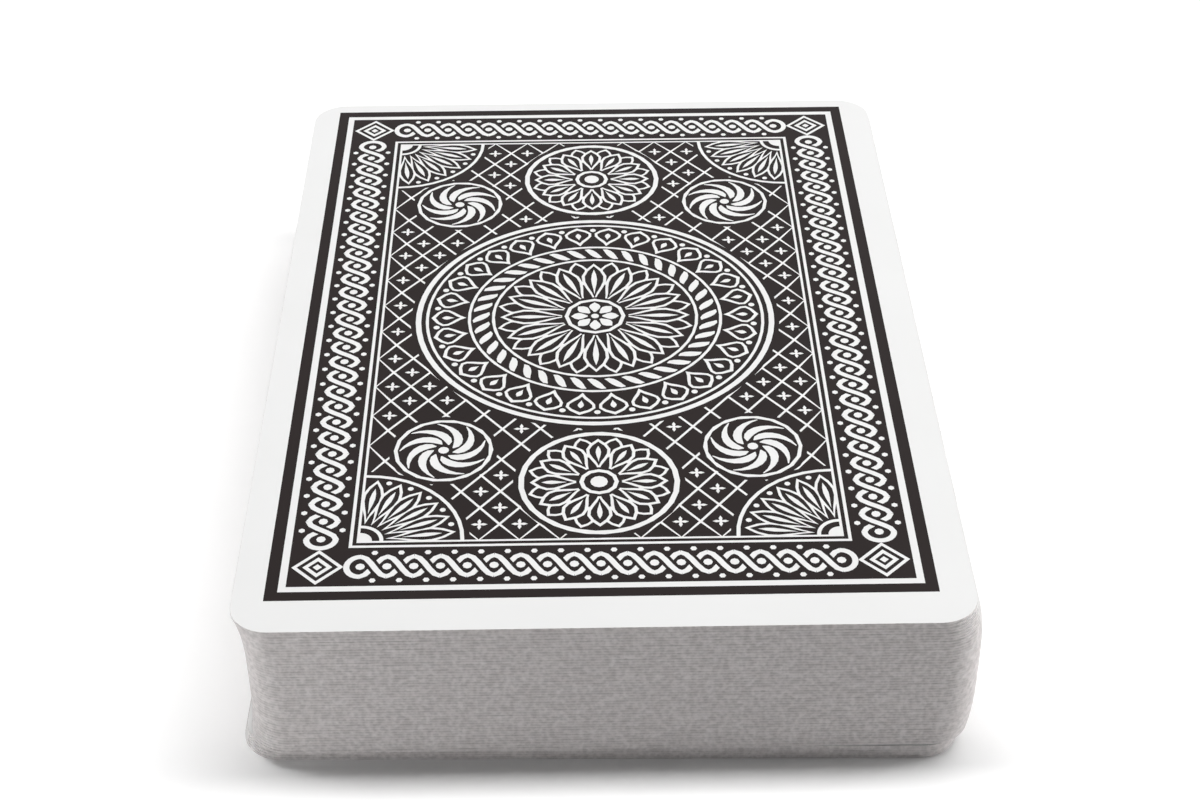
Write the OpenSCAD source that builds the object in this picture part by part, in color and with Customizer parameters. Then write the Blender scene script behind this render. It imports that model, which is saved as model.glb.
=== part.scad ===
// A pack of fifty-two poker-size playing cards, lying face down and not quite squared up.
// Millimetres. X runs across the cards, Y along them and Z up from the table.
// The origin is on the table, under the middle of a card that would lie dead square.

/* [Card] */
// Width of one card
card_w = 63.5; // [40:0.5:90]
// Length of one card
card_l = 88.9; // [60:0.1:130]
// Thickness of the card stock
card_t = 0.3; // [0.2:0.01:0.6]
// Radius of the rounded corners
corner_r = 3.5; // [1:0.1:10]
// Bevel that the cutting die leaves round both faces
edge_bevel = 0.03; // [0.01:0.01:0.09]

/* [Stack] */
// Air between one card and the next
air_gap = 0.01; // [0.005:0.005:0.1]
// How far the middle of the stack leans out to the right
lean = 0.8; // [0:0.1:3]
// How flat that lean is in the middle: 2 is an even bow, and more keeps it to the ends
lean_power = 3.4; // [2:0.1:8]
// How far each card has slipped from the line of the stack
slip = 0.01; // [0:0.01:0.5]
// Largest turn of a single card, in degrees
slip_turn = 0.01; // [0:0.01:0.5]
// Cards in the packet that lies askew at the bottom
packet_cards = 5; // [0:1:20]
// How far that packet has slipped to the left
packet_slip = 0.5; // [0:0.1:3]
// Turn of that packet about its right front corner, in degrees
packet_turn = 0.9; // [0:0.1:3]
// Gap where the cards above part from that packet
packet_gap = 0.08; // [0:0.01:0.5]

/* [Hidden] */
$fn = 96;
RANKS = ["ace", "two", "three", "four", "five", "six", "seven",
         "eight", "nine", "ten", "jack", "queen", "king"];
// Suits from the table upwards, in the order of a new pack
SUITS = ["hearts", "clubs", "diamonds", "spades"];
// The lower two suits climb from ace to king, and the upper two from king to ace
climbing_suits = 2;
last_rank = len(RANKS) - 1;
function suit_of(i) = floor(i / len(RANKS));
function rank_of(i) = suit_of(i) < climbing_suits ? i % len(RANKS) : last_rank - i % len(RANKS);
function card_name(i) = str(RANKS[rank_of(i)], "_of_", SUITS[suit_of(i)]);

card_count = len(RANKS) * len(SUITS);

// Height from one card to the next
pitch = card_t + air_gap;
// Each card slips a golden angle round from the one below, so that no two neighbours line up
golden_angle = 137.5;
// The corner that stays put when a card turns: front right
fixed_corner = [card_w / 2, -card_l / 2, 0];

function height_share(i) = i / (card_count - 1);
// 1 for a card of the packet and 0 above it
function packet_share(i) = max(0, min(1, packet_cards - i));
function bow(i) = lean * (1 - pow(abs(2 * height_share(i) - 1), lean_power));
function sideways(i) = bow(i) + slip * cos(golden_angle * i) - packet_slip * packet_share(i);
function lengthways(i) = slip * sin(golden_angle * i);
function upwards(i) = i * pitch + packet_gap * (1 - packet_share(i));
function turn(i) = slip_turn * cos(2 * golden_angle * i) - packet_turn * packet_share(i);

// Half of the edge's section, from a straight line at x = 0 out to the cut edge
module edge_section(reach) {
    polygon([
        [0, 0],
        [reach - edge_bevel, 0],
        [reach, edge_bevel],
        [reach, card_t - edge_bevel],
        [reach - edge_bevel, card_t],
        [0, card_t]
    ]);
}

// Straight run of the card: the edge's section on both sides, carried along Y
module straight_run(width, length) {
    rotate([90, 0, 0])
        linear_extrude(height = length, center = true)
            union() {
                edge_section(width / 2);
                mirror([1, 0]) edge_section(width / 2);
            }
}

// Corner of the card: the same section, spun about the corner's centre
module round_corner() {
    rotate_extrude() edge_section(corner_r);
}

// One card, lying square over the origin with its face on the table
module card_blank() {
    union() {
        straight_run(card_w, card_l - 2 * corner_r);
        rotate(90) straight_run(card_l, card_w - 2 * corner_r);
        for (x = [-1, 1], y = [-1, 1])
            translate([x * (card_w / 2 - corner_r), y * (card_l / 2 - corner_r), 0])
                round_corner();
    }
}

// Card i, counted from the table, where it lies in the stack
module card(i) {
    color("whitesmoke")
        translate([sideways(i), lengthways(i), upwards(i)])
            translate(fixed_corner)
                rotate(turn(i))
                    translate(-fixed_corner)
                        card_blank();
}

for (i = [0 : card_count - 1])
    card(i);
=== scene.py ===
"""A pack of fifty-two playing cards lying face down, with printed backs and faces and bare cut edges."""

import math

import bpy
import numpy as np
from mathutils import Matrix, Vector
from mathutils.bvhtree import BVHTree
from mathutils.geometry import delaunay_2d_cdt


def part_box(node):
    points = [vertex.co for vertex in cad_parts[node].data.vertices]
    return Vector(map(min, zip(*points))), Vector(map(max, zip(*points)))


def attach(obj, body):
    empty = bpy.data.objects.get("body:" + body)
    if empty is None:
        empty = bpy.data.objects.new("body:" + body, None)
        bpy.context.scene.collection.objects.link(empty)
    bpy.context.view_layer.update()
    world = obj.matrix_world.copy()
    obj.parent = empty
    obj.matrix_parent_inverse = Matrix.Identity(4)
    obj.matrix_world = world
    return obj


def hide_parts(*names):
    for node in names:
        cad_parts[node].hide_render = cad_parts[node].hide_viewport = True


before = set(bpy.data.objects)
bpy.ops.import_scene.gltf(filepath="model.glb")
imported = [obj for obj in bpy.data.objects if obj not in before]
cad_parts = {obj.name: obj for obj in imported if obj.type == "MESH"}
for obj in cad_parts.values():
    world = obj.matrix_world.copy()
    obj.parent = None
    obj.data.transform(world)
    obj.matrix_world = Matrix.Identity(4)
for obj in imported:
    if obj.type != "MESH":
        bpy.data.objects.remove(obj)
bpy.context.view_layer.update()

TAU = 2 * np.pi
MM = 0.001

# Card blank, in millimetres
CARD_W = 63.5
CARD_L = 88.9
CARD_T = 0.3
CORNER_R = 3.5
EDGE_ROUND = 0.02
CORNER_POINTS = 13
ROUND_POINTS = 3

# How the cards lie in the stack, a hair off the solids, in millimetres and degrees
AIR_GAP = 0.007
LEAN = 0.8
LEAN_POWER = 3.4
SLIP = 0.003
SLIP_TURN = 0.003
PACKET_CARDS = 5
PACKET_SLIP = 0.49
PACKET_TURN = 0.88
PACKET_GAP = 0.233
GOLDEN_ANGLE = 137.5
PITCH = CARD_T + AIR_GAP

# Glue line in the middle of the cut edge, as a share of the card's thickness
GLUE_SHARE = 0.14

# Material slots of every card
STOCK, BACK_INK, SUIT_INK, CUT_EDGE = range(4)

# How near two points of a sheet count as one, at its first cut and its second, in millimetres
FIRST_WELD = 1e-5
SECOND_WELD = 1e-7

# Flat map of a card, as shares of its square: tiles for its sides and a strip for its edge
TILE_STEP = (0.5, 0.46)
TILE_START = (0.01, 0.09)
TILE_SIZE = (0.48, 0.44)
STRIP_START = 0.01
STRIP_SIZE = (0.98, 0.06)

# Back print, in millimetres from the middle of its panel
PANEL_HALF = np.array([28.8, 41.75])
PRINT_SHIFT = np.array([-0.2, 1.2])
OUTER_BAND = 1.1
OUTER_LINE = 0.65
BORDER_W = 5.0
INNER_LINE = 0.3
INNER_GAP = 0.35
LATTICE_LINE = 0.24
BORDER_INSET = OUTER_BAND + OUTER_LINE
FIELD_INSET = BORDER_INSET + BORDER_W + INNER_LINE + INNER_GAP
FIELD_HALF = PANEL_HALF - FIELD_INSET
BORDER_MIDDLE = PANEL_HALF - BORDER_INSET - BORDER_W / 2

# Border weave
WEAVE_SWING = 1.3
WEAVE_RIBBON = 0.54
WEAVE_CASING = 0.3
WEAVE_END = 1.2
WEAVES_ACROSS = 9
WEAVES_ALONG = 14
WEAVE_POINTS = 6
EYE_R = 0.42
SIDE_DOT_R = 0.3
SIDE_DOT_REACH = 1.8
CORNER_LOZENGES = (2.25, 1.8, 1.3, 0.8, 0.4)

# Lattice of lozenges in the field
CELLS_ACROSS = 12
CELLS_ALONG = 15
QUATREFOIL_R = 0.74

# Round ornaments in the field
PETAL_SKEW = 1.4
HALF_STEP = 0.5
ROSE_R = 17.95
ROSE_ARCHES = 30
ROSE_STRANDS = 40
ROSE_PETALS = 16
ROSETTE_R = 7.35
ROSETTE_Y = 26.3
ROSETTE_PETALS = 12
WHIRL_R = 4.6
WHIRL_AT = np.array([14.3, 21.4])
WHIRL_BLADES = 9
WHIRL_TURN = 1.4
FAN_R = 9.2
FAN_PETALS = 6
FAN_CORNER = FIELD_HALF - LATTICE_LINE
CLEAR_RIM = 0.5

# Face print, in millimetres from the middle of the card
PIP_H = 13.0
PIP_COLUMN = 12.5
PIP_ROW = 29.0
ACE_PIP_H = 19.0
INDEX_AT = np.array([-26.8, 35.4])
INDEX_H = 8.0
INDEX_STROKE = 0.95
INDEX_PIP_H = 5.6
INDEX_PIP_DROP = 6.0
COURT_HALF = np.array([19.6, 33.6])
COURT_LINE = 0.5
COURT_PIP_INSET = np.array([5.2, 6.6])
CROWN_W = 17
CROWN_Y = 20

RED = ("hearts", "diamonds")
CROWN_POINTS = {"jack": 3, "queen": 4, "king": 5}

# Places of the pips, as shares of the column and the row
FOUR_WAYS = [(1, 1), (-1, 1), (-1, -1), (1, -1)]
NINE_SHARES = FOUR_WAYS + [(1, 1 / 3), (-1, 1 / 3), (-1, -1 / 3), (1, -1 / 3)]
SIX_SHARES = FOUR_WAYS + [(1, 0), (-1, 0)]
PIP_SHARES = {
    "two": [(0, 1), (0, -1)],
    "three": [(0, 1), (0, 0), (0, -1)],
    "four": FOUR_WAYS,
    "five": FOUR_WAYS + [(0, 0)],
    "six": SIX_SHARES,
    "seven": SIX_SHARES + [(0, 1 / 2)],
    "eight": SIX_SHARES + [(0, 1 / 2), (0, -1 / 2)],
    "nine": NINE_SHARES + [(0, 0)],
    "ten": NINE_SHARES + [(0, 2 / 3), (0, -2 / 3)],
}

# View, in millimetres and degrees
EYE = (-1.946, -178.392, 141.055)
EYE_YAW = 0.698
EYE_PITCH = 37.097
EYE_ROLL = -0.350
LENS = 65.36
SENSOR_W = 36.0

# Sizes of the patches in the finishes and of the embossed grid, in millimetres
SHADE_PATCH = 14
GLOSS_PATCH = 6
BLOTCH = 1.2
GRAIN = 0.45
EMBOSS_PERIOD = math.pi
EMBOSS_DEPTH = 0.004

# Drift of the roughness, and the radians that a wave texture runs through over one unit
GLOSS_DRIFT = 0.06
WAVE_RADIANS = 20

# Floor: half its width, how white it is to the eye, and from where to where its shadows fade, in metres
FLOOR_HALF = 3.0
FLOOR_SEEN = 1.06
SHADOW_REACH = (0.15, 0.35)


# Outlines

def disc(radius, points):
    """Circle: the radius times the cosine and sine of evenly spaced angles."""
    a = np.linspace(0, TAU, points, endpoint=False)
    return radius * np.stack([np.cos(a), np.sin(a)], axis=1)


def quarter(radius, points):
    """Quarter of a disc: its centre, then an arc from the X axis to the Y axis."""
    a = np.linspace(0, TAU / 4, points)
    arc = radius * np.stack([np.cos(a), np.sin(a)], axis=1)
    return np.concatenate([np.zeros((1, 2)), arc])


def rectangle(half):
    """Four corners at plus and minus the half width and half length."""
    return np.array(FOUR_WAYS) * half


def lozenge(half):
    """Four points on the axes, at the half width and half length."""
    return np.array([(1, 0), (0, 1), (-1, 0), (0, -1)]) * half


def petal(inner, outer, width, points=7):
    """Leaf along X: half its width is a sine over its length, skewed to be widest beyond the middle."""
    t = np.linspace(0, 1, points)
    x = inner + (outer - inner) * t
    half = width / 2 * np.sin(np.pi * t ** PETAL_SKEW)
    upper = np.stack([x, half], axis=1)
    return np.concatenate([upper, (upper * (1, -1))[-2:0:-1]])


def lobes(radius, count, depth, points):
    """Circle whose radius swells and shrinks by a cosine, once for each lobe."""
    a = np.linspace(0, TAU, points, endpoint=False)
    r = radius * (1 - depth + depth * np.cos(count * a))
    return np.stack([r * np.cos(a), r * np.sin(a)], axis=1)


def ribbon(paths, half_width, end_order=1):
    """Bands along paths: each point of a path, moved both ways along the path's normal there.

    A path that comes back to its start takes one normal there for both of its ends.
    """
    along = np.gradient(paths, axis=-2, edge_order=end_order)
    if np.allclose(paths[..., 0, :], paths[..., -1, :]):
        along[..., [0, -1], :] = (paths[..., 1, :] - paths[..., -2, :])[..., None, :] / 2
    along /= np.linalg.norm(along, axis=-1, keepdims=True)
    across = along[..., ::-1] * (-1, 1) * np.asarray(half_width)[..., None]
    return np.concatenate([paths + across, (paths - across)[..., ::-1, :]], axis=-2)


def turned(angles, outline):
    """One outline turned about the origin to each of several angles."""
    c = np.cos(angles)
    s = np.sin(angles)
    return np.einsum("ni,ijk->knj", outline, np.array([[c, s], [-s, c]]))


def spun(count, outline, phase=0.0):
    """One outline turned evenly all round the origin, starting a share of a step along."""
    return turned(TAU * (np.arange(count) + phase) / count, outline)


def at(centres, outlines):
    """The same outlines set down at each of several centres."""
    outlines = outlines.reshape(-1, *outlines.shape[-2:])
    centres = np.asarray(centres, dtype=float).reshape(-1, 1, 1, 2)
    return (centres + outlines).reshape(-1, *outlines.shape[1:])


def four_ways(outlines):
    """Outlines in one quarter of the card, mirrored into all four."""
    ways = np.array(FOUR_WAYS).reshape(4, 1, 1, 2)
    return (ways * outlines).reshape(-1, *outlines.shape[1:])


def both_ends(outlines):
    """Outlines at one end of the card, and turned half round to the other end."""
    return np.concatenate([outlines, -outlines])


def nested(outline_of, sizes, first=BACK_INK):
    """Outlines of falling size, drawn one over another in ink and bare stock by turns."""
    inks = (first, STOCK if first != STOCK else BACK_INK)
    return [(inks[k % 2], outline_of(size)) for k, size in enumerate(sizes)]


# Back print

def ruled_frame():
    """Nested rectangles: the outer band and line, the border, the inner line and the field's bare ground."""
    insets = np.cumsum([0, OUTER_BAND, OUTER_LINE, BORDER_W, INNER_LINE, INNER_GAP])
    return nested(lambda inset: rectangle(PANEL_HALF - inset)[None], insets)


def weave(length, waves):
    """Two ribbons along X that follow a cosine and its opposite, so that they cross once in each half wave.

    Each half wave is a cell. The falling ribbon passes over the rising one, in a casing of bare ink. Half an
    ellipse joins the two at each end.
    """
    cells = np.arange(2 * waves)[:, None]
    step = length / (2 * waves)

    def strand(start, end, sign):
        t = np.linspace(start, end, WEAVE_POINTS)
        x = step * (cells + t) - length / 2
        y = np.broadcast_to(sign * WEAVE_SWING * np.cos(np.pi * t), x.shape)
        return np.stack([x, y], axis=-1)

    half = np.full(WEAVE_POINTS, WEAVE_RIBBON / 2)
    middles = step * (cells[:, 0] + 0.5) - length / 2
    crossings = np.stack([middles, np.full(2 * waves, SIDE_DOT_REACH)], axis=1)
    eyes = np.stack([np.linspace(-length / 2, length / 2, 2 * waves + 1), np.zeros(2 * waves + 1)], axis=1)
    a = np.linspace(0, np.pi, 2 * WEAVE_POINTS)
    end = np.stack([length / 2 + WEAVE_END * np.sin(a), WEAVE_SWING * np.cos(a)], axis=1)
    return [
        (STOCK, ribbon(strand(0, 1, -1), half, 2)),
        (BACK_INK, ribbon(strand(0.25, 0.75, 1), half + WEAVE_CASING, 2)),
        (STOCK, ribbon(strand(0, 1, 1), half, 2)),
        (STOCK, both_ends(ribbon(end[None], np.full(len(end), WEAVE_RIBBON / 2), 2))),
        (STOCK, at(eyes, disc(EYE_R, 8))),
        (STOCK, both_ends(at(crossings, disc(SIDE_DOT_R, 6)))),
    ]


def border():
    """A weave along each side of the panel, with nested lozenges in the corners."""
    run = 2 * (BORDER_MIDDLE - BORDER_W / 2 - WEAVE_END)
    across = weave(run[0], WEAVES_ACROSS)
    along = weave(run[1], WEAVES_ALONG)
    prints = [(ink, both_ends(loops + (0, BORDER_MIDDLE[1]))) for ink, loops in across]
    prints += [(ink, both_ends(loops[..., ::-1] + (BORDER_MIDDLE[0], 0))) for ink, loops in along]
    return prints + nested(lambda half: four_ways(at(BORDER_MIDDLE, lozenge(half))), CORNER_LOZENGES, STOCK)


def covered(points, reach):
    """Which points lie under a round ornament of the field, taken as wider by reach."""
    rounds = np.concatenate([
        [(0, 0, ROSE_R), (0, ROSETTE_Y, ROSETTE_R), (0, -ROSETTE_Y, ROSETTE_R)],
        np.insert(WHIRL_AT * FOUR_WAYS, 2, WHIRL_R, axis=1),
        np.insert(FAN_CORNER * FOUR_WAYS, 2, FAN_R, axis=1),
    ])
    away = np.linalg.norm(points[:, None] - rounds[:, :2], axis=2)
    return (away < rounds[:, 2] + CLEAR_RIM + reach).any(axis=1)


def lattice():
    """Ink lozenges on the field's bare ground, a line apart, each with a bare quatrefoil in it."""
    step = FIELD_HALF / (CELLS_ACROSS, CELLS_ALONG)
    i, j = np.meshgrid(np.arange(-CELLS_ACROSS, CELLS_ACROSS + 1), np.arange(-CELLS_ALONG, CELLS_ALONG + 1))
    kept = (i + j) % 2 == 0
    centres = np.stack([i[kept], j[kept]], axis=1) * step
    inside = (np.abs(centres) < FIELD_HALF - step / 2).all(axis=1)
    share = 1 - LATTICE_LINE / 2 * np.linalg.norm(step) / step.prod()
    inner = FIELD_HALF - LATTICE_LINE
    cells = np.clip(at(centres[~covered(centres, -step.max())], lozenge(step * share)), -inner, inner)
    flowers = centres[inside & ~covered(centres, QUATREFOIL_R)]
    return [(BACK_INK, cells), (STOCK, at(flowers, lobes(QUATREFOIL_R, 4, 0.4, 16)))]


def leaf_ring(count, inner, outer, width, rim, phase=0.0):
    """Ring of bare leaves, each with an inked heart a rim smaller."""
    return [
        (STOCK, spun(count, petal(inner, outer, width), phase)),
        (BACK_INK, spun(count, petal(inner + 2 * rim, outer - 1.4 * rim, width - 2 * rim), phase)),
    ]


def petal_ring(count, inner, outer, width, rim, vein):
    """Ring of leaves with a bare vein in each heart."""
    veins = spun(count, petal(inner + 4 * rim, outer - 3.5 * rim, vein, 6))
    return leaf_ring(count, inner, outer, width, rim) + [(STOCK, veins)]


def dots(count, radius, reach, phase):
    """Ring of small bare dots."""
    return [(STOCK, spun(count, disc(radius, 8) + (reach, 0), phase))]


def rounds(*radii, first=BACK_INK):
    """Discs of falling radius in ink and bare stock by turns."""
    return nested(lambda radius: disc(radius, max(12, int(4 * radius)))[None], radii, first)


def rope(count, reach, width, thickness):
    """Ring of bare strands: each tapers both ways along half a sine wave, slanted across the ring."""
    t = np.linspace(-1, 1, 7)
    path = np.stack([reach + width / 2 * np.sin(TAU / 4 * t), TAU * reach / count / 2 * t], axis=1)
    return [(STOCK, spun(count, ribbon(path, thickness / 2 * (1.1 - t ** 2))))]


def rose():
    """Great rose in the middle: a ring of arches, a rope, long petals with leaves between them and an eye."""
    rim = rounds(ROSE_R + CLEAR_RIM, ROSE_R, 17.4, 16.95, 16.65)
    arches = petal_ring(ROSE_ARCHES, 12.9, 16.4, 2.9, 0.3, 0.6) + dots(ROSE_ARCHES, 0.32, 15.9, HALF_STEP)
    strands = rope(ROSE_STRANDS, 11.4, 1.5, 0.72)
    twist = rounds(12.75, 12.45, first=STOCK) + strands + rounds(10.35, 10.05, first=STOCK)
    leaves = leaf_ring(ROSE_PETALS, 5.6, 9.9, 2.0, 0.28, HALF_STEP)
    petals = petal_ring(ROSE_PETALS, 2.6, 9.5, 2.6, 0.32, 0.6)
    eye = rounds(3.4, 3.05, 2.65) + [(STOCK, spun(8, petal(0.5, 2.4, 1.15, 6)))] + rounds(0.75, 0.4)
    return rim + arches + twist + leaves + petals + eye


def rosette():
    """Small rosette: petals with leaves between them, round an eye."""
    rim = rounds(ROSETTE_R + CLEAR_RIM, ROSETTE_R, 6.85)
    leaves = leaf_ring(ROSETTE_PETALS, 3.6, 6.65, 1.8, 0.26, HALF_STEP)
    petals = petal_ring(ROSETTE_PETALS, 1.7, 6.3, 2.3, 0.3, 0.5)
    return rim + leaves + petals + rounds(2.1, 1.8, 1.4, 0.8)


def whirl():
    """Roundel of blades, each a band that tapers both ways along a spiral."""
    t = np.linspace(0, 1, 9)
    angle = WHIRL_TURN * t
    reach = 0.9 + (WHIRL_R - 1.45) * t
    path = np.stack([reach * np.cos(angle), reach * np.sin(angle)], axis=1)
    blade = ribbon(path, 0.05 + 0.36 * np.sin(np.pi * t ** 0.7))
    rim = rounds(WHIRL_R + CLEAR_RIM, WHIRL_R, WHIRL_R - 0.35)
    return rim + [(STOCK, spun(WHIRL_BLADES, blade))] + rounds(0.5, first=STOCK)


def fan():
    """Quarter of a rosette, spread from a corner of the field, with a bead between its petals' tips."""
    angles = TAU / 4 * (np.arange(FAN_PETALS) + HALF_STEP) / FAN_PETALS
    between = TAU / 4 * np.arange(1, FAN_PETALS) / FAN_PETALS

    def sectors(*radii, first=BACK_INK):
        return nested(lambda radius: quarter(radius, 12)[None], radii, first)

    return (
        sectors(FAN_R + CLEAR_RIM, FAN_R, FAN_R - 0.35)
        + [(STOCK, turned(angles, petal(2.3, 8.5, 1.95)))]
        + [(BACK_INK, turned(angles, petal(2.9, 8.05, 1.4)))]
        + [(STOCK, turned(angles, petal(3.7, 7.3, 0.5, 6)))]
        + [(STOCK, turned(between, disc(0.28, 8) + (8.25, 0)))]
        + sectors(2.1, 1.75, 1.1, first=STOCK)
    )


def back_print():
    """Whole back, from the ground up: frame, border, lattice and the round ornaments over it."""
    ends = [(0, ROSETTE_Y), (0, -ROSETTE_Y)]
    prints = ruled_frame() + border() + lattice() + rose()
    prints += [(ink, at(ends, loops)) for ink, loops in rosette()]
    prints += [(ink, four_ways(loops + WHIRL_AT)) for ink, loops in whirl()]
    prints += [(ink, four_ways(loops - FAN_CORNER)) for ink, loops in fan()]
    return [(ink, loops + PRINT_SHIFT) for ink, loops in prints]


# Face print

def stem():
    """Foot of a black pip: its half width falls by a square from the foot up."""
    t = np.linspace(0, 1, 6)
    right = np.stack([0.04 + 0.2 * (1 - t) ** 2, -0.5 + 0.5 * t], axis=1)
    return np.concatenate([right, (right * (-1, 1))[::-1]])


def heart():
    """Heart of unit height: a sine cubed across, and a sum of four cosines along."""
    a = np.linspace(0, TAU, 44, endpoint=False)
    y = 13 * np.cos(a) - 5 * np.cos(2 * a) - 2 * np.cos(3 * a) - np.cos(4 * a)
    return np.stack([16 * np.sin(a) ** 3, y + 2.5], axis=1) / 29


def pip(suit):
    """Outlines of a pip of unit height, standing upright."""
    a = np.linspace(0, TAU, 24, endpoint=False)
    if suit == "hearts":
        return [heart()]
    if suit == "diamonds":
        bowed = np.stack([np.cos(a), np.sin(a)], axis=1)
        return [np.sign(bowed) * np.abs(bowed) ** 2.15 * (0.4, 0.5)]
    if suit == "spades":
        return [heart() * (0.9, -0.82) + (0, 0.09), stem()]
    leaf = disc(0.235, 24)
    return [leaf + (0, 0.265), leaf + (0.235, -0.08), leaf + (-0.235, -0.08), stem(), disc(0.12, 8)]


def pips(suit, height, places):
    """Pips of one height at their places, those below the middle turned upside down."""
    places = np.asarray(places, dtype=float).reshape(-1, 2)
    up = np.where(places[:, 1] < 0, -height, height).reshape(-1, 1, 1)
    return [(SUIT_INK, places[:, None] + up * shape) for shape in pip(suit)]


def bow(x, y, rx, ry, start, end):
    """Stretch of an ellipse between two angles in degrees."""
    a = np.radians(np.linspace(start, end, 21))
    return np.stack([x + rx * np.cos(a), y + ry * np.sin(a)], axis=1)


def bars(*points):
    """Straight strokes from point to point, each carried on by half the stroke's width so that they join."""
    starts = np.array(points[:-1], dtype=float)
    ends = np.array(points[1:], dtype=float)
    reach = ends - starts
    reach *= INDEX_STROKE / INDEX_H / 2 / np.linalg.norm(reach, axis=1, keepdims=True)
    return list(np.stack([starts - reach, ends + reach], axis=1))


def strokes(rank):
    """Strokes of a rank's index, as paths in a box of unit height."""
    six = [bow(0.3, 0.3, 0.26, 0.26, 0, 360), bow(0.56, 0.3, 0.52, 0.66, 180, 100)]
    return {
        "ace": bars((0, 0), (0.3, 1), (0.6, 0)) + bars((0.12, 0.36), (0.48, 0.36)),
        "two": [bow(0.3, 0.7, 0.27, 0.26, 170, -38)] + bars((0.513, 0.54), (0.04, 0.04), (0.6, 0.04)),
        "three": [bow(0.28, 0.73, 0.24, 0.23, 150, -88), bow(0.28, 0.27, 0.28, 0.25, 88, -150)],
        "four": bars((0.46, 0), (0.46, 0.96), (0, 0.3), (0.64, 0.3)),
        "five": bars((0.54, 0.96), (0.12, 0.96), (0.11, 0.56)) + [bow(0.28, 0.32, 0.28, 0.28, 125, -150)],
        "six": six,
        "seven": bars((0, 0.96), (0.58, 0.96), (0.2, 0)),
        "eight": [bow(0.3, 0.74, 0.22, 0.22, 0, 360), bow(0.3, 0.27, 0.27, 0.25, 0, 360)],
        "nine": [(0.6, 1) - path for path in six],
        "ten": bars((0, 0.78), (0.14, 0.98), (0.14, 0)) + [bow(0.52, 0.5, 0.2, 0.46, 0, 360)],
        "jack": bars((0.46, 1), (0.46, 0.3)) + [bow(0.24, 0.3, 0.22, 0.26, 0, -165)],
        "queen": [bow(0.3, 0.52, 0.28, 0.44, 0, 360)] + bars((0.34, 0.3), (0.62, 0)),
        "king": bars((0.06, 0), (0.06, 1)) + bars((0.58, 1), (0.06, 0.42)) + bars((0.2, 0.58), (0.6, 0)),
    }[rank]


def index(rank, suit):
    """Rank over a small pip, in two opposite corners."""
    half = INDEX_STROKE / 2
    shapes = [ribbon((path - (0.3, 0)) * INDEX_H, np.full(len(path), half)) for path in strokes(rank)]
    shapes += [shape * INDEX_PIP_H - (0, INDEX_PIP_DROP) for shape in pip(suit)]
    return [(SUIT_INK, both_ends((shape + INDEX_AT)[None])) for shape in shapes]


def crown(points):
    """Crown of unit width: a band, a zigzag with one point for each rise, and a ball on each point."""
    x = np.linspace(-0.5, 0.5, 2 * points - 1)
    tip = np.arange(2 * points - 1) % 2 == 0
    y = np.where(tip, 0.5, 0.22)
    zigzag = np.concatenate([[(-0.4, 0), (0.4, 0)], np.stack([x, y], axis=1)[::-1]])
    balls = at(np.stack([x[tip], y[tip] + 0.03], axis=1), disc(0.06, 10))
    return [zigzag[None], balls, (rectangle((0.42, 0.045)) - (0, 0.09))[None]]


def court(rank, suit):
    """Court card: a ruled frame, a pip ringed with petals in the middle and a crown at each end."""
    points = CROWN_POINTS[rank]
    insets = COURT_LINE * np.array([0, 1, 2.4, 3])
    prints = [(SUIT_INK if k % 2 == 0 else STOCK, rectangle(COURT_HALF - inset)[None])
              for k, inset in enumerate(insets)]
    prints += [(SUIT_INK, both_ends(shape * CROWN_W + (0, CROWN_Y))) for shape in crown(points)]
    prints += [(SUIT_INK, spun(4 * points, petal(10.5, 15.8, 2.6)))]
    prints += [(STOCK, spun(4 * points, petal(11.6, 15.0, 1.5)))]
    prints += pips(suit, PIP_H, [(0, 0)])
    corner = COURT_HALF - COURT_PIP_INSET
    return prints + pips(suit, INDEX_PIP_H, corner * [(-1, 1), (1, -1)])


def face_print(rank, suit):
    """Face of a card as its owner sees it: index and pips, or index and court."""
    if rank in CROWN_POINTS:
        middle = court(rank, suit)
    elif rank == "ace":
        middle = pips(suit, ACE_PIP_H, [(0, 0)])
    else:
        middle = pips(suit, PIP_H, np.array(PIP_SHARES[rank]) * (PIP_COLUMN, PIP_ROW))
    return middle + index(rank, suit)


# Cards

def anticlockwise(outlines):
    """Outlines turned to run anticlockwise: twice the area, the sum of x dy - y dx, is then above zero."""
    ahead = np.roll(outlines, -1, axis=1)
    area = (outlines[..., 0] * ahead[..., 1] - outlines[..., 1] * ahead[..., 0]).sum(axis=1)
    return np.where(area[:, None, None] < 0, outlines[:, ::-1], outlines)


def card_outline(inset):
    """Outline of a card: a quarter circle about each corner's centre, one after another."""
    a = np.linspace(0, TAU / 4, CORNER_POINTS) + TAU / 4 * np.arange(4)[:, None]
    centres = np.array(FOUR_WAYS) * (CARD_W / 2 - CORNER_R, CARD_L / 2 - CORNER_R)
    arcs = (CORNER_R - inset) * np.stack([np.cos(a), np.sin(a)], axis=-1)
    return (centres[:, None] + arcs).reshape(-1, 2)


def edge_section():
    """Cut edge from the face up to the back, as insets and heights: quarter circle, wall, quarter circle."""
    a = np.linspace(0, TAU / 4, ROUND_POINTS)
    lower = EDGE_ROUND * np.stack([1 - np.sin(a), 1 - np.cos(a)], axis=1)
    return np.concatenate([lower, (lower * (1, -1) + (0, CARD_T))[::-1]])


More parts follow.
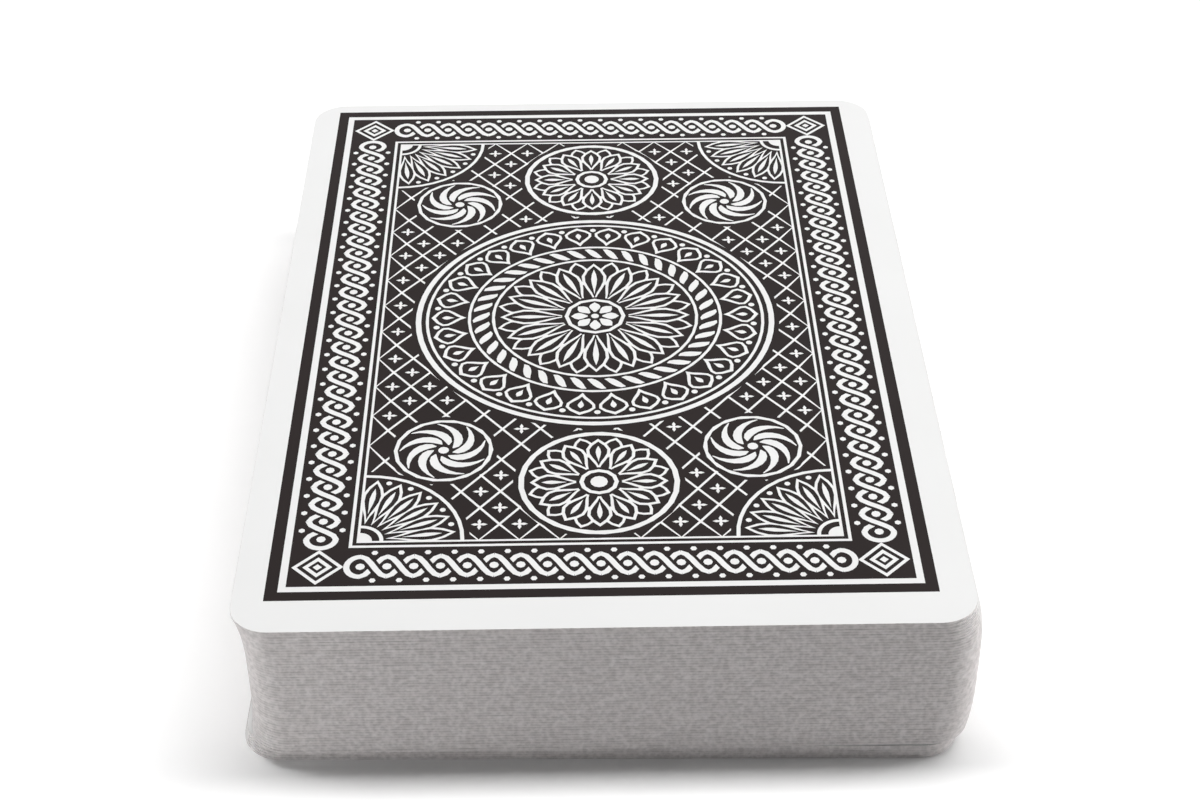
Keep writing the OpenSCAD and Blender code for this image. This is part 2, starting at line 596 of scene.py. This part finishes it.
def wall():
    """Edge section carried round the card's outline: points of a grid of rings, and two triangles a cell."""
    section = edge_section()
    rings = np.stack([card_outline(inset) for inset in section[:, 0]])
    heights = np.broadcast_to(section[:, 1, None, None], (*rings.shape[:2], 1))
    ring, point = np.meshgrid(np.arange(len(rings) - 1), np.arange(rings.shape[1]), indexing="ij")
    near = ring * rings.shape[1] + point
    ahead = ring * rings.shape[1] + (point + 1) % rings.shape[1]
    above = near + rings.shape[1]
    corners = np.stack([near, ahead, ahead + rings.shape[1], near, ahead + rings.shape[1], above], axis=-1)
    return np.concatenate([rings, heights], axis=2).reshape(-1, 3), corners.reshape(-1, 3)


def ink_borders(triangles, inks):
    """Edges with another ink on each side, and edges with nothing on one side: the outlines that show."""
    sides = np.sort(triangles[:, [[0, 1], [1, 2], [2, 0]]].reshape(-1, 2), axis=1)
    edges, which, count = np.unique(sides, axis=0, return_inverse=True, return_counts=True)
    low = np.full(len(edges), inks.max() + 1)
    high = np.full(len(edges), -1)
    np.minimum.at(low, which.ravel(), np.repeat(inks, 3))
    np.maximum.at(high, which.ravel(), np.repeat(inks, 3))
    return edges[(low < high) | (count == 1)]


def cut_sheet(prints):
    """Flat of a card cut along the outlines printed on it, by constrained Delaunay triangulations.

    The first cuts along every outline, and gives each triangle the ink of the last outline that covers it.
    The second cuts again, only where two inks meet. Returns the points, the rim point that each one is,
    or -1, the triangles and their inks.
    """
    rim = card_outline(EDGE_ROUND)
    groups = [anticlockwise(loops) for loops in [rim[None]] + [loops for ink, loops in prints]]
    sizes = np.concatenate([np.full(len(loops), loops.shape[1]) for loops in groups])
    inks = np.repeat([STOCK] + [ink for ink, loops in prints], [len(loops) for loops in groups])
    points = np.concatenate([loops.reshape(-1, 2) for loops in groups])
    ends = np.cumsum(sizes)
    faces = [list(range(end - size, end)) for size, end in zip(sizes, ends)]
    verts, _, triangles, origins, _, covers = delaunay_2d_cdt(points.tolist(), [], faces, 1, FIRST_WELD)
    first = np.array([min(origin, default=len(points)) for origin in origins])
    inks = inks[[max(cover) for cover in covers]]
    triangles = np.array(triangles)

    used, borders = np.unique(ink_borders(triangles, inks), return_inverse=True)
    flat = np.array(verts)[used]
    borders = borders.reshape(-1, 2).tolist()
    shown, _, pieces, kept, _, _ = delaunay_2d_cdt(flat.tolist(), borders, [], 0, SECOND_WELD)
    shown = np.array(shown)
    pieces = np.array(pieces)
    middles = np.insert(shown[pieces].mean(axis=1), 2, 0, axis=1)
    cover = BVHTree.FromPolygons(np.insert(np.array(verts), 2, 0, axis=1).tolist(), triangles.tolist())
    under = [cover.find_nearest(middle)[2] for middle in middles.tolist()]
    source = first[used[[min(origin) for origin in kept]]]
    return shown, np.where(source < len(rim), source, -1), pieces, inks[under]


def laid(i, count, points):
    """Points of a card laid in its place, i cards up: turned about its right front corner, then moved.

    The stack leans out by one less a power of the height from its middle, each card slips a golden angle
    round from the one below, and the packet at the bottom has turned, slipped to the left and parted. The
    cards slip less than the solids, for even lines between them. Thinner air leaves room for a wider parting
    that shows, and the packet is straighter, to keep to the solids' box.
    """
    slip_angle = math.radians(GOLDEN_ANGLE * i)
    packet = 1 if i < PACKET_CARDS else 0
    turn = math.radians(SLIP_TURN * math.cos(2 * slip_angle) - PACKET_TURN * packet)
    corner = np.array([CARD_W / 2, -CARD_L / 2, 0])
    matrix = np.array(Matrix.Rotation(turn, 3, "Z"))
    lean = LEAN * (1 - abs(2 * i / (count - 1) - 1) ** LEAN_POWER)
    sideways = lean + SLIP * math.cos(slip_angle) - PACKET_SLIP * packet
    upwards = i * PITCH + PACKET_GAP * (1 - packet)
    return (points - corner) @ matrix.T + corner + (sideways, SLIP * math.sin(slip_angle), upwards)


def bake_places(points, triangles, slots, upward):
    """Places on the card's flat map: a tile for each printed slot of each side, and a strip for the edge."""
    share = points[triangles][..., :2] / (CARD_W, CARD_L) + 0.5
    tile = np.stack([np.where(slots == STOCK, 0, 1), upward], axis=1)[:, None]
    flat = tile * TILE_STEP + TILE_START + share * TILE_SIZE
    around = np.arctan2(share[..., 1] - 0.5, share[..., 0] - 0.5) / TAU + 0.5
    around += np.round(around[:, :1] - around)
    through = points[triangles][..., 2] / CARD_T
    strip = STRIP_START + np.stack([np.clip(around, 0, 1), through], axis=-1) * STRIP_SIZE
    return np.where((slots == CUT_EDGE)[:, None, None], strip, flat)


def card(name, i, count, back, face, materials):
    """One card: its wall, its back on the wall's top ring and its face on the lowest, closed all round."""
    points, walls = wall()
    top_ring = len(points) - len(card_outline(0))
    parts = [(walls, np.full(len(walls), CUT_EDGE), np.zeros(len(walls)))]
    for sheet, height, upward, ring in ((back, CARD_T, 1, top_ring), (face, 0, 0, 0)):
        flat, rim_point, triangles, inks = sheet
        own = rim_point < 0
        number = np.where(own, len(points) + np.cumsum(own) - 1, rim_point + ring)
        triangles = number[triangles] if upward else number[triangles][:, ::-1]
        parts.append((triangles, inks, np.full(len(triangles), upward)))
        points = np.concatenate([points, np.insert(flat[own], 2, height, axis=1)])
    triangles, slots, upward = (np.concatenate(column) for column in zip(*parts))
    mesh = bpy.data.meshes.new(name)
    mesh.vertices.add(len(points))
    mesh.vertices.foreach_set("co", (laid(i, count, points) * MM).ravel())
    mesh.loops.add(triangles.size)
    mesh.loops.foreach_set("vertex_index", triangles.ravel())
    mesh.polygons.add(len(triangles))
    mesh.polygons.foreach_set("loop_start", np.arange(0, triangles.size, 3))
    mesh.polygons.foreach_set("material_index", slots)
    mesh.polygons.foreach_set("use_smooth", slots == CUT_EDGE)
    bake_map = mesh.uv_layers.new(name="OFBake")
    bake_map.uv.foreach_set("vector", bake_places(points, triangles, slots, upward).ravel())
    mesh.attributes.new("through", "FLOAT", "POINT").data.foreach_set("value", points[:, 2] / CARD_T)
    mesh.update(calc_edges=True)
    for material in materials:
        mesh.materials.append(material)
    piece = bpy.data.objects.new(f"{name}.card", mesh)
    bpy.context.collection.objects.link(piece)
    return piece


# Finishes

def finish(name):
    """Material with an empty node tree round its shader, and that tree's maker of linked nodes."""
    material = bpy.data.materials.new(name)
    material.use_nodes = True
    tree = material.node_tree

    def node(kind, inputs=(), **settings):
        made = tree.nodes.new(kind)
        for key, value in settings.items():
            setattr(made, key, value)
        for key, value in dict(inputs).items():
            if isinstance(value, bpy.types.NodeSocket):
                tree.links.new(value, made.inputs[key])
            else:
                made.inputs[key].default_value = value
        return made

    return material, tree, node


def mottle(node, place, size, low, high, detail=4.0):
    """Colour that drifts between two shades in patches of a given size in millimetres."""
    noise = node("ShaderNodeTexNoise", {"Vector": place, "Scale": 1 / (size * MM), "Detail": detail})
    ramp = node("ShaderNodeValToRGB", {"Fac": noise.outputs["Fac"]})
    ramp.color_ramp.elements[0].position = 0.35
    ramp.color_ramp.elements[1].position = 0.65
    ramp.color_ramp.elements[0].color = (*low, 1)
    ramp.color_ramp.elements[1].color = (*high, 1)
    return ramp.outputs["Color"]


def emboss(node, place):
    """Embossed grid of the finish: a wave across times a wave along."""
    scale = TAU / (EMBOSS_PERIOD * MM) / WAVE_RADIANS
    waves = [
        node("ShaderNodeTexWave", {"Vector": place, "Scale": scale}, bands_direction=axis)
        for axis in ("X", "Y")
    ]
    across, along = (wave.outputs["Fac"] for wave in waves)
    grid = node("ShaderNodeMath", {0: across, 1: along}, operation="MULTIPLY")
    relief = {"Height": grid.outputs[0], "Strength": 0.5, "Distance": EMBOSS_DEPTH * MM}
    return node("ShaderNodeBump", relief).outputs["Normal"]


def glazed(name, low, high, roughness, specular):
    """Glazed print or stock: a mottled shade under an embossed finish whose gloss drifts."""
    material, tree, node = finish(name)
    shader = tree.nodes["Principled BSDF"]
    place = node("ShaderNodeTexCoord").outputs["Object"]
    noise = node("ShaderNodeTexNoise", {"Vector": place, "Scale": 1 / (GLOSS_PATCH * MM), "Detail": 3.0})
    limits = {"To Min": roughness - GLOSS_DRIFT, "To Max": roughness + GLOSS_DRIFT}
    gloss = node("ShaderNodeMapRange", {"Value": noise.outputs["Fac"], **limits})
    tree.links.new(mottle(node, place, SHADE_PATCH, low, high), shader.inputs["Base Color"])
    tree.links.new(gloss.outputs["Result"], shader.inputs["Roughness"])
    tree.links.new(emboss(node, place), shader.inputs["Normal"])
    shader.inputs["Specular IOR Level"].default_value = specular
    return material


def cut_edge():
    """Bare cut edge: pale blotched fibres, with a darker line where the two halves of the stock are glued."""
    material, tree, node = finish("cut_edge")
    shader = tree.nodes["Principled BSDF"]
    place = node("ShaderNodeTexCoord").outputs["Object"]
    blotches = mottle(node, place, BLOTCH, (0.63, 0.595, 0.59), (0.69, 0.66, 0.655), 3.0)
    grain = mottle(node, place, GRAIN, (0.74, 0.74, 0.74), (1, 1, 1), 2.0)
    layers = {"Factor": 1.0, "A": blotches, "B": grain}
    fibres = node("ShaderNodeMix", layers, data_type="RGBA", blend_type="MULTIPLY")
    through = node("ShaderNodeAttribute", attribute_name="through").outputs["Fac"]
    middle = node("ShaderNodeMath", {0: through, 1: 0.5, 2: GLUE_SHARE / 2}, operation="COMPARE")
    layers = {"Factor": middle.outputs[0], "A": fibres.outputs[2], "B": (0.6, 0.57, 0.565, 1)}
    core = node("ShaderNodeMix", layers, data_type="RGBA")
    tree.links.new(core.outputs[2], shader.inputs["Base Color"])
    shader.inputs["Roughness"].default_value = 0.85
    shader.inputs["Specular IOR Level"].default_value = 0.2
    return material


# Stage

def seen(tree):
    """One for rays from the eye, direct, mirrored or through glass, and zero for the rest."""
    path = tree.nodes.new("ShaderNodeLightPath")
    shown = path.outputs["Is Camera Ray"]
    for ray in ("Is Glossy Ray", "Is Transmission Ray"):
        either = tree.nodes.new("ShaderNodeMath")
        either.operation = "MAXIMUM"
        tree.links.new(shown, either.inputs[0])
        tree.links.new(path.outputs[ray], either.inputs[1])
        shown = either.outputs[0]
    return shown


def table_top():
    """Wide pale floor, whiter to the eye than to the pack: shadows near by, and plain white far off."""
    mesh = bpy.data.meshes.new("table_top")
    mesh.from_pydata(np.insert(rectangle(FLOOR_HALF), 2, 0, axis=1).tolist(), [], [(0, 1, 2, 3)])
    material, tree, node = finish("table_white")
    place = node("ShaderNodeTexCoord").outputs["Object"]
    shown = seen(tree)
    pale = mottle(node, place, 200, (0.88, 0.88, 0.88), (0.90, 0.90, 0.90))
    white = (FLOOR_SEEN, FLOOR_SEEN, FLOOR_SEEN, 1)
    shade = node("ShaderNodeMix", {"Factor": shown, "A": pale, "B": white}, data_type="RGBA")
    matt = node("ShaderNodeBsdfDiffuse", {"Color": shade.outputs[2]})
    away = node("ShaderNodeVectorMath", {0: place}, operation="LENGTH")
    limits = {"Value": away.outputs["Value"], "From Min": SHADOW_REACH[0], "From Max": SHADOW_REACH[1]}
    far = node("ShaderNodeMapRange", limits)
    share = node("ShaderNodeMath", {0: far.outputs["Result"], 1: shown}, operation="MULTIPLY")
    glow = node("ShaderNodeEmission", {"Color": (1, 1, 1, 1)})
    surface = node("ShaderNodeMixShader", {0: share.outputs[0], 1: matt.outputs[0], 2: glow.outputs[0]})
    tree.links.new(surface.outputs[0], tree.nodes["Material Output"].inputs["Surface"])
    mesh.materials.append(material)
    floor = bpy.data.objects.new("table_top", mesh)
    bpy.context.collection.objects.link(floor)


def lamp(name, place, size, power):
    """Soft box that faces the pack: place, width and height in metres, and power in watts."""
    light = bpy.data.lights.new(name, "AREA")
    light.shape = "RECTANGLE"
    light.size, light.size_y = size
    light.energy = power
    box = bpy.data.objects.new(name, light)
    box.location = place
    box.rotation_euler = (-Vector(place)).to_track_quat("-Z", "Y").to_euler()
    bpy.context.collection.objects.link(box)


def room(ambient):
    """White surroundings for the eye and for reflections, and a dimmer even light for the rest."""
    world = bpy.data.worlds.new("room")
    world.use_nodes = True
    tree = world.node_tree
    strength = tree.nodes.new("ShaderNodeMapRange")
    strength.inputs["To Min"].default_value = ambient
    tree.links.new(seen(tree), strength.inputs["Value"])
    tree.links.new(strength.outputs["Result"], tree.nodes["Background"].inputs["Strength"])
    tree.nodes["Background"].inputs["Color"].default_value = (1, 1, 1, 1)
    bpy.context.scene.world = world


def eye():
    """Camera at the picture's viewpoint: heading, then dip, then roll."""
    lens = bpy.data.cameras.new("eye")
    lens.sensor_fit = "HORIZONTAL"
    lens.sensor_width = SENSOR_W
    lens.lens = LENS
    lens.clip_start = 0.01
    camera = bpy.data.objects.new("eye", lens)
    turn = (
        Matrix.Rotation(math.radians(-EYE_YAW), 4, "Z")
        @ Matrix.Rotation(math.radians(90 - EYE_PITCH), 4, "X")
        @ Matrix.Rotation(math.radians(EYE_ROLL), 4, "Z")
    )
    camera.matrix_world = Matrix.Translation(Vector(EYE) * MM) @ turn
    bpy.context.collection.objects.link(camera)
    bpy.context.scene.camera = camera


# Making

bpy.context.scene.view_settings.view_transform = "Standard"
eye()
table_top()
room(ambient=0.02)
lamp("overhead", (0, 0.062, 0.7), (1.0, 0.142), 5.4)
lamp("rear_left", (-0.35, 0.35, 0.6), (0.4, 0.4), 0.4)
lamp("rear_right", (0.35, 0.5, 0.5), (0.4, 0.4), 0.85)
lamp("left_panel", (-0.5, 0.13, 0.05), (0.34, 0.09), 0.3)
lamp("right_panel", (0.5, 0.03, 0.05), (0.34, 0.09), 1.5)
lamp("left_fill", (-0.09, -0.085, 0.006), (0.05, 0.01), 0.023)
lamp("right_fill", (0.12, -0.055, 0.03), (0.05, 0.03), 0.016)

stock = glazed("glazed_stock", (0.815, 0.815, 0.81), (0.83, 0.83, 0.827), roughness=0.5, specular=0.2)
black = glazed("back_black", (0.011, 0.007, 0.0068), (0.014, 0.009, 0.0087), roughness=0.5, specular=0.1)
pip_black = glazed("pip_black", (0.012, 0.012, 0.012), (0.016, 0.016, 0.016), roughness=0.5, specular=0.15)
pip_red = glazed("pip_red", (0.50, 0.012, 0.02), (0.56, 0.016, 0.025), roughness=0.5, specular=0.15)
edge = cut_edge()

stack = sorted(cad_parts, key=lambda node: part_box(node)[0].z)
back_sheet = cut_sheet(back_print())
for height, name in enumerate(stack):
    rank, suit = name.split("_of_")
    face_sheet = cut_sheet([(ink, loops * (-1, 1)) for ink, loops in face_print(rank, suit)])
    suit_ink = pip_red if suit in RED else pip_black
    piece = card(name, height, len(stack), back_sheet, face_sheet, (stock, black, suit_ink, edge))
    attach(piece, name)
    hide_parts(name)
